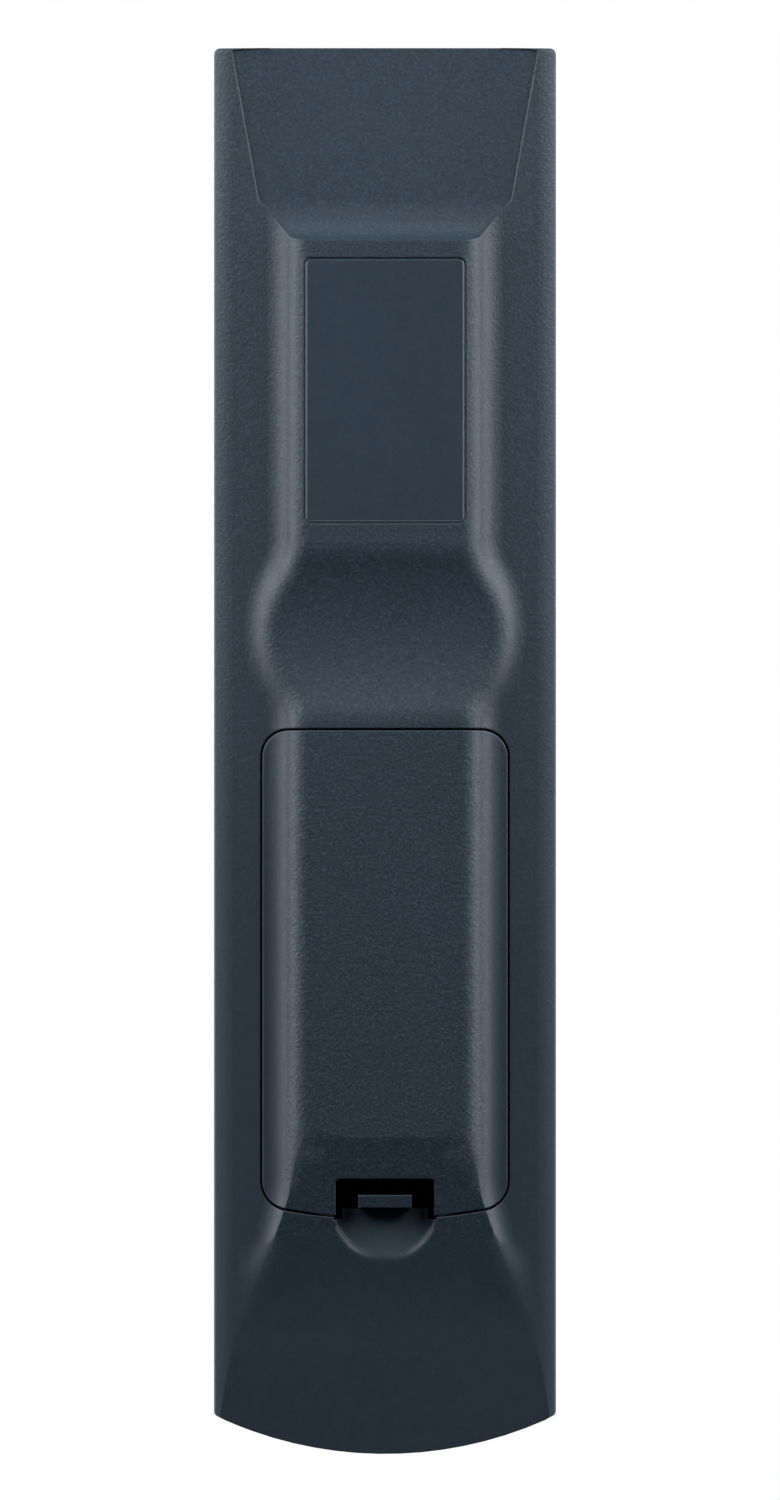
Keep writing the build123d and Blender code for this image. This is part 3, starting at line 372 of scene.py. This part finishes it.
def cell_jacket(node, side):
    """Alkaline cell: printed film with a copper-coloured shoulder, bare steel at both ends."""
    g = material_graph(node + "_jacket")
    at = g.place()
    xyz = g.split(at)
    low, high = (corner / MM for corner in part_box(node))
    middle = (low + high) / 2
    length = high.y - low.y
    rule_start, rule_end, shoulder_start = (length * share for share in (0.655, 0.67, 0.68))
    # How far along the cell from its minus end, and how far from its axis
    along = g.math("SUBTRACT", xyz[1], low.y) if side > 0 else g.math("SUBTRACT", high.y, xyz[1])
    off_x = g.math("SUBTRACT", xyz[0], middle.x)
    off_z = g.math("SUBTRACT", xyz[2], middle.z)
    radius = g.math("SQRT", g.math("ADD", g.times(off_x, off_x), g.times(off_z, off_z)))
    fibres = g.noise(at, 0.35, 13.0, detail=3.0)
    scuff = g.noise(at, 2.5, 14.0, detail=5.0, roughness=0.65)
    shoulder = g.ramp(along, shoulder_start, shoulder_start + 0.12)
    rule = g.times(g.ramp(along, rule_start, rule_start + 0.1),
                   g.below(along, rule_end, rule_end + 0.1))
    bare = g.math("MAXIMUM", g.below(radius, 6.35, 6.5),
                  g.ramp(along, length - 1.25, length - 1.15))
    film = g.mix(shoulder, srgb(32, 34, 40), srgb(184, 112, 62))
    film = g.mix(rule, film, srgb(206, 208, 206))
    film = g.mix(g.ramp(scuff, 0.55, 0.8, 0.0, 0.25), film, srgb(120, 120, 122))
    base = g.mix(bare, film, srgb(196, 194, 190))
    rough = g.math("ADD", g.ramp(bare, 0.0, 1.0, 0.3, 0.26), g.times(scuff, 0.14))
    return g.principled(base, rough, g.bump(fibres, 0.15, 0.02, g.bevel(0.15 * MM)),
                        Metallic=g.math("MAXIMUM", bare, g.times(shoulder, 0.65)))


def printed(name, colour):
    """Screen-printed ink: slightly uneven cover on the key below."""
    g = material_graph(name)
    cover = g.noise(g.place(), 0.18, 15.0, detail=3.0)
    base = g.mix(g.ramp(cover, 0.3, 0.75), tint(colour, 0.86), colour)
    return g.principled(base, g.ramp(cover, 0.2, 0.8, 0.38, 0.55), g.bump(cover, 0.3, 0.015))


materials = {
    "case_back": moulded_plastic("shell_back", SHELL, 0.54, grain=0.24, relief=1.45,
                                 speckle=0.55, seam_shadow=True, back=True),
    "case_front": moulded_plastic("shell_front", tint(SHELL, 0.62), 0.46, grain=0.2, relief=0.35,
                                  seam_shadow=True),
    "smoked_window": smoked_window("infrared_window"),
    "emitter_lens": clear_lens("emitter_epoxy"),
    "board": board("solder_mask"),
    "carbon": rubber("carbon_print", srgb(30, 30, 32), 0.6, sheen=0.0),
    "keypad_rubber": rubber("keypad_silicone", srgb(60, 66, 72), 0.62),
    "key_rubber": rubber("key_silicone", srgb(128, 134, 140), 0.5),
    "key_silver": rubber("key_silver_paint", srgb(168, 172, 176), 0.36, sheen=0.0),
    "power_red": rubber("power_key_red", srgb(176, 38, 36), 0.48),
    "red_key_colour": rubber("red_key_tint", srgb(178, 44, 42), 0.48),
    "green_key_colour": rubber("green_key_tint", srgb(46, 132, 70), 0.48),
    "yellow_key_colour": rubber("yellow_key_tint", srgb(214, 176, 52), 0.48),
    "blue_key_colour": rubber("blue_key_tint", srgb(44, 92, 168), 0.48),
    "spring_steel": metal("nickel_spring", srgb(206, 203, 196), 0.24, brushed=(1, 1, 4)),
    "screw_steel": metal("zinc_screw", srgb(172, 174, 178), 0.34, brushed=(3, 3, 1)),
    "chip_resin": moulded_plastic("chip_epoxy", srgb(34, 34, 36), 0.55, grain=0.1, relief=0.3,
                                  edge=0.15),
    "resonator_case": moulded_plastic("resonator_resin", srgb(196, 122, 42), 0.42, grain=0.3,
                                      relief=0.2, edge=0.3),
    "capacitor_sleeve": moulded_plastic("capacitor_film", srgb(34, 40, 74), 0.3, grain=0.5,
                                        relief=0.1, edge=0.3),
}
cell_sides = {"left_cell": -1, "right_cell": 1}

for name, piece in nodes.items():
    piece.data.materials.clear()
    piece.data.materials.append(cell_jacket(name, cell_sides[name]) if name in cell_sides
                                else materials[slots[name]])


# Legends on the keys, in millimetres about the middle of each key

INK_RISE = 0.012      # over the key's top
INK_ROOT = 0.04       # into the key
FIGURE_SIZE = 4.2


def turned(points, x, y, degrees):
    """Points turned about their own middle and moved to (x, y)."""
    cos, sin = math.cos(math.radians(degrees)), math.sin(math.radians(degrees))
    return [(x + px * cos - py * sin, y + px * sin + py * cos) for px, py in points]


def box_loop(x, y, width, height):
    left, right = x - width / 2, x + width / 2
    bottom, top = y - height / 2, y + height / 2
    return [(left, bottom), (right, bottom), (right, top), (left, top)]


def circle_points(x, y, radius, angles):
    return [(x + radius * math.cos(a), y + radius * math.sin(a)) for a in angles]


def disc_loop(x, y, radius, steps=40):
    return circle_points(x, y, radius, [2 * math.pi * i / steps for i in range(steps)])


def arc_loop(x, y, radius, width, start, end, steps=28):
    """A curved stroke round (x, y), from one angle to another in degrees."""
    angles = [math.radians(start + (end - start) * i / steps) for i in range(steps + 1)]
    outer = circle_points(x, y, radius + width / 2, angles)
    inner = circle_points(x, y, radius - width / 2, angles)
    return outer + inner[::-1]


def arrow_loop(x, y, size, degrees):
    """A triangle whose tip points along the angle."""
    tip, back, half = 0.6 * size, -0.4 * size, 0.62 * size
    return turned([(tip, 0), (back, half), (back, -half)], x, y, degrees)


def cross_loop(x, y, reach, width, degrees=0.0):
    """A plus sign, or a cross where it is turned."""
    half = width / 2
    arm = [(reach, -half), (reach, half), (half, half)]
    points = [point for quarter in range(4) for point in turned(arm, 0, 0, 90 * quarter)]
    return turned(points, x, y, degrees)


def speaker_loop(x, y, size):
    box, cone, mouth = 0.35 * size, 0.45 * size, 0.15 * size
    return [(x - size, y - box), (x - cone, y - box), (x + mouth, y - size),
            (x + mouth, y + size), (x - cone, y + box), (x - size, y + box)]


def drawn_mesh(name, loops, figures):
    """Flat ink as thick as its rise and root, about the origin."""
    curve = bpy.data.curves.new(name + "_ink", "FONT" if figures else "CURVE")
    if figures:
        curve.body = figures
        curve.size = FIGURE_SIZE * MM
        curve.align_x = "CENTER"
        curve.align_y = "CENTER"
        curve.resolution_u = 6
    else:
        curve.dimensions = "2D"
        for loop in loops:
            spline = curve.splines.new("POLY")
            spline.points.add(len(loop) - 1)
            for point, (x, y) in zip(spline.points, loop):
                point.co = (x * MM, y * MM, 0, 1)
            spline.use_cyclic_u = True
    curve.fill_mode = "BOTH"
    curve.extrude = (INK_RISE + INK_ROOT) / 2 * MM
    drawn = bpy.data.objects.new(name + "_drawn", curve)
    scene.collection.objects.link(drawn)
    bpy.context.view_layer.update()
    depsgraph = bpy.context.evaluated_depsgraph_get()
    mesh = bpy.data.meshes.new_from_object(drawn.evaluated_get(depsgraph))
    bpy.data.objects.remove(drawn)
    return mesh


def shift(mesh, by):
    for vertex in mesh.vertices:
        vertex.co += by


def legend(node, ink, loops=(), figures=None):
    """Ink on the flat top of a key: closed loops, or figures."""
    low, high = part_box(node)
    mesh = drawn_mesh(node, loops, figures)
    if figures:
        # Figures are centred by what is inked, not by their type body
        xs = [vertex.co.x for vertex in mesh.vertices]
        ys = [vertex.co.y for vertex in mesh.vertices]
        shift(mesh, -Vector(((min(xs) + max(xs)) / 2, (min(ys) + max(ys)) / 2, 0)))
    shift(mesh, Vector(((low.x + high.x) / 2, (low.y + high.y) / 2,
                        high.z + (INK_RISE - INK_ROOT) / 2 * MM)))
    mesh.materials.clear()
    mesh.materials.append(ink)
    piece = bpy.data.objects.new(node + "_legend", mesh)
    scene.collection.objects.link(piece)
    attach(piece, body_of(nodes[node])[0])


dark_ink = printed("ink_dark", srgb(24, 28, 34))
pale_ink = printed("ink_pale", srgb(228, 230, 230))
red_ink = printed("ink_red", srgb(176, 34, 30))

legends = {
    "power_key": [arc_loop(0, -0.15, 1.75, 0.42, 130, 410), box_loop(0, 1.2, 0.42, 2.1)],
    "aspect_key": [box_loop(0, 0, 5.2, 3.0), box_loop(0, 0, 4.6, 2.4), box_loop(0, 0, 2.4, 1.1)],
    "input_key": [[(-0.4, 1.5), (2.4, 1.5), (2.4, -1.5), (-0.4, -1.5), (-0.4, -1.2), (2.1, -1.2),
                   (2.1, 1.2), (-0.4, 1.2)],
                  [(-2.6, -0.2), (-0.2, -0.2), (-0.2, -0.85), (1.1, 0), (-0.2, 0.85), (-0.2, 0.2),
                   (-2.6, 0.2)]],
    "dash_key": [box_loop(0, 0, 2.6, 0.5)],
    "recall_key": [arc_loop(0, 0, 1.35, 0.4, -120, 150), arrow_loop(-1.35, 0.35, 1.3, 255)],
    "volume_rocker": [cross_loop(0, 8.4, 1.5, 0.5), box_loop(0, -8.4, 3.0, 0.5),
                      speaker_loop(-0.5, 0, 1.5), arc_loop(-0.2, 0, 1.2, 0.3, -40, 40),
                      arc_loop(-0.2, 0, 2.0, 0.3, -40, 40)],
    "channel_rocker": [arrow_loop(0, 8.4, 2.4, 90), arrow_loop(0, -8.4, 2.4, 270),
                       box_loop(0, 0.25, 4.2, 2.7), box_loop(0, 0.25, 3.5, 2.0),
                       box_loop(0, -1.65, 2.2, 0.35)],
    "mute_key": [speaker_loop(-0.9, 0, 1.4), cross_loop(1.55, 0, 1.05, 0.36, 45)],
    "guide_key": [box_loop(1.7 * (i - 1), 1.3 * (j - 0.5), 1.3, 0.9)
                  for i in range(3) for j in range(2)],
    "select_key": [disc_loop(0, 0, 1.5), disc_loop(0, 0, 1.1)],
    "up_key": [arrow_loop(0, 0, 2.6, 90)],
    "down_key": [arrow_loop(0, 0, 2.6, 270)],
    "left_key": [arrow_loop(0, 0, 2.6, 180)],
    "right_key": [arrow_loop(0, 0, 2.6, 0)],
    "menu_key": [box_loop(0, 0.95 * (i - 1), 3.2, 0.4) for i in range(3)],
    "home_key": [[(-1.9, 0), (0, 1.6), (1.9, 0), (1.3, 0), (1.3, -1.4), (0.45, -1.4), (0.45, -0.4),
                  (-0.45, -0.4), (-0.45, -1.4), (-1.3, -1.4), (-1.3, 0)]],
    "back_key": [arc_loop(0.2, -0.25, 1.05, 0.38, -90, 90), box_loop(-0.45, 0.8, 1.3, 0.38),
                 box_loop(-0.45, -1.3, 1.3, 0.38), arrow_loop(-1.5, 0.8, 1.1, 180)],
    "exit_key": [cross_loop(0, 0, 1.6, 0.42, 45)],
    "rewind_key": [arrow_loop(1.05, 0, 1.9, 180), arrow_loop(-0.9, 0, 1.9, 180)],
    "play_key": [arrow_loop(0, 0, 2.2, 0)],
    "forward_key": [arrow_loop(-1.05, 0, 1.9, 0), arrow_loop(0.9, 0, 1.9, 0)],
    "record_key": [disc_loop(0, 0, 1.15)],
    "stop_key": [box_loop(0, 0, 2.1, 2.1)],
    "pause_key": [box_loop(-0.65, 0, 0.6, 2.1), box_loop(0.65, 0, 0.6, 2.1)],
}
inks = {"power_key": pale_ink, "record_key": red_ink}

for number in range(10):
    legend(f"digit_{number}_key", dark_ink, figures=str(number))
for node, loops in legends.items():
    legend(node, inks.get(node, dark_ink), loops)


# Camera

PIXELS = (780, 1500)              # of the photograph
CASE_MIDDLE = (385.0, 750.25)     # in its pixels
CASE_PIXELS = 341.0               # the case's width in them
WIDEST_Z = 10.0                   # millimetres, where the case is that wide
DISTANCE = 1.6                    # metres, from there
SENSOR = 36.0

metres_per_pixel = (cad_box[1][0] - cad_box[0][0]) / CASE_PIXELS
camera_data = bpy.data.cameras.new("photo_camera")
camera_data.sensor_width = SENSOR
camera_data.lens = SENSOR * DISTANCE / (PIXELS[1] * metres_per_pixel)
camera_data.clip_start = 0.05
camera_data.clip_end = 20.0
camera = bpy.data.objects.new("photo_camera", camera_data)
scene.collection.objects.link(camera)
camera.location = ((CASE_MIDDLE[0] - PIXELS[0] / 2) * metres_per_pixel,
                   (CASE_MIDDLE[1] - PIXELS[1] / 2) * metres_per_pixel,
                   WIDEST_Z * MM - DISTANCE)
camera.rotation_mode = "XYZ"
camera.rotation_euler = (math.pi, 0.0, math.pi)
scene.camera = camera


# Floor, world and lamps

FLOOR_HALF = 6.0                  # metres
FLOOR_DROP = 0.0002               # metres, so that it doesn't cut the flat of the back
FLOOR_FADE = (350.0, 700.0)       # millimetres from the middle
WORLD_RISE = (-0.1, 0.25)         # where the world goes from dim to bright, as the sine of height
WORLD_BELOW = 0.01
WORLD_ABOVE = 0.75
GLOSS_ABOVE = 0.1                 # over this height gloss sees the world white


def make_floor():
    """A pale floor, shown to whoever looks at it from above, that lets light through."""
    half = FLOOR_HALF
    mesh = bpy.data.meshes.new("floor")
    mesh.from_pydata([(-half, -half, 0), (half, -half, 0), (half, half, 0), (-half, half, 0)],
                     [], [(0, 1, 2, 3)])
    floor = bpy.data.objects.new("floor", mesh)
    scene.collection.objects.link(floor)
    floor.location.z = -FLOOR_DROP
    g = material_graph("floor_paper")
    at = g.place()
    fibre = g.noise(at, 3.0, 20.0, detail=4.0)
    tone = g.mix(g.ramp(fibre, 0.2, 0.8), (0.80, 0.80, 0.80), (0.83, 0.83, 0.83))
    paper = g.node("ShaderNodeBsdfDiffuse", {"Color": tone}).outputs[0]
    gap = g.node("ShaderNodeBsdfTransparent").outputs[0]
    path = g.node("ShaderNodeLightPath").outputs
    # Gloss sees it too, but not from the flat of the back, which lies on it
    away = g.math("GREATER_THAN", path["Ray Length"], 0.02)
    shown = g.math("MAXIMUM", path["Is Camera Ray"], path["Is Transmission Ray"])
    shown = g.math("MAXIMUM", shown, g.times(path["Is Glossy Ray"], away))
    front = g.math("SUBTRACT", 1.0, g.node("ShaderNodeNewGeometry").outputs["Backfacing"])
    # Away from the remote the paper runs out into the white of the studio
    reach = g.node("ShaderNodeVectorMath", {0: at}, operation="LENGTH").outputs["Value"]
    share = g.times(shown, front, g.below(reach, *FLOOR_FADE))
    both = g.node("ShaderNodeMixShader", {0: share, 1: gap, 2: paper})
    floor.data.materials.append(g.finish(both))


def make_world():
    """White to the camera; for light and gloss, a bright upper half and a dim lower one."""
    scene.world = bpy.data.worlds.new("studio")
    g = Graph(scene.world, "ShaderNodeOutputWorld")
    path = g.node("ShaderNodeLightPath").outputs
    height = g.split(g.node("ShaderNodeTexCoord").outputs["Generated"])["Z"]
    level = g.ramp(height, *WORLD_RISE, WORLD_BELOW, WORLD_ABOVE)
    white = g.times(path["Is Glossy Ray"], g.math("GREATER_THAN", height, GLOSS_ABOVE))
    for kind in ("Is Camera Ray", "Is Transmission Ray"):
        white = g.math("MAXIMUM", path[kind], white)
    strength = g.node("ShaderNodeMix", {0: white, 2: level, 3: 1.0}, data_type="FLOAT").outputs[0]
    g.finish(g.node("ShaderNodeBackground", {"Color": (1, 1, 1, 1), "Strength": strength}))


def softbox(name, place, aim, size, power, colour=(1.0, 1.0, 1.0)):
    """A lamp of size metres and power watts, at a place in metres and turned to the aim."""
    data = bpy.data.lights.new(name, "AREA")
    data.shape = "RECTANGLE"
    data.size, data.size_y = size
    data.energy = power
    data.color = colour
    lamp = bpy.data.objects.new(name, data)
    scene.collection.objects.link(lamp)
    lamp.visible_camera = False
    lamp.location = place
    lamp.rotation_mode = "QUATERNION"
    lamp.rotation_quaternion = (Vector(aim) - Vector(place)).to_track_quat("-Z", "Y")


make_floor()
make_world()
# Under the floor: a long softbox level with the remote on each side, a small one off each head
# corner and one beyond the head
for side, word in ((-1, "left"), (1, "right")):
    softbox(f"back_side_{word}", (side * 0.70, 0.20, -0.05), (0, 0.01, 0), (0.70, 0.40), 5.1)
    softbox(f"back_corner_{word}", (side * 0.27, 0.22, -0.21), (0, 0.03, 0), (0.20, 0.20), 1.08,
            (0.94, 1.0, 1.0))
softbox("back_head", (0, 0.62, -0.16), (0, 0.06, 0), (0.50, 0.24), 1.0, (0.92, 1.0, 1.0))
# Over the floor: a large soft key and a fill
softbox("front_key", (-0.5, -0.7, 1.1), (0, 0, 0.01), (0.9, 0.9), 16.0)
softbox("front_fill", (0.9, 0.3, 0.7), (0, 0, 0.01), (0.8, 0.8), 6.0)

scene.view_settings.view_transform = "Standard"
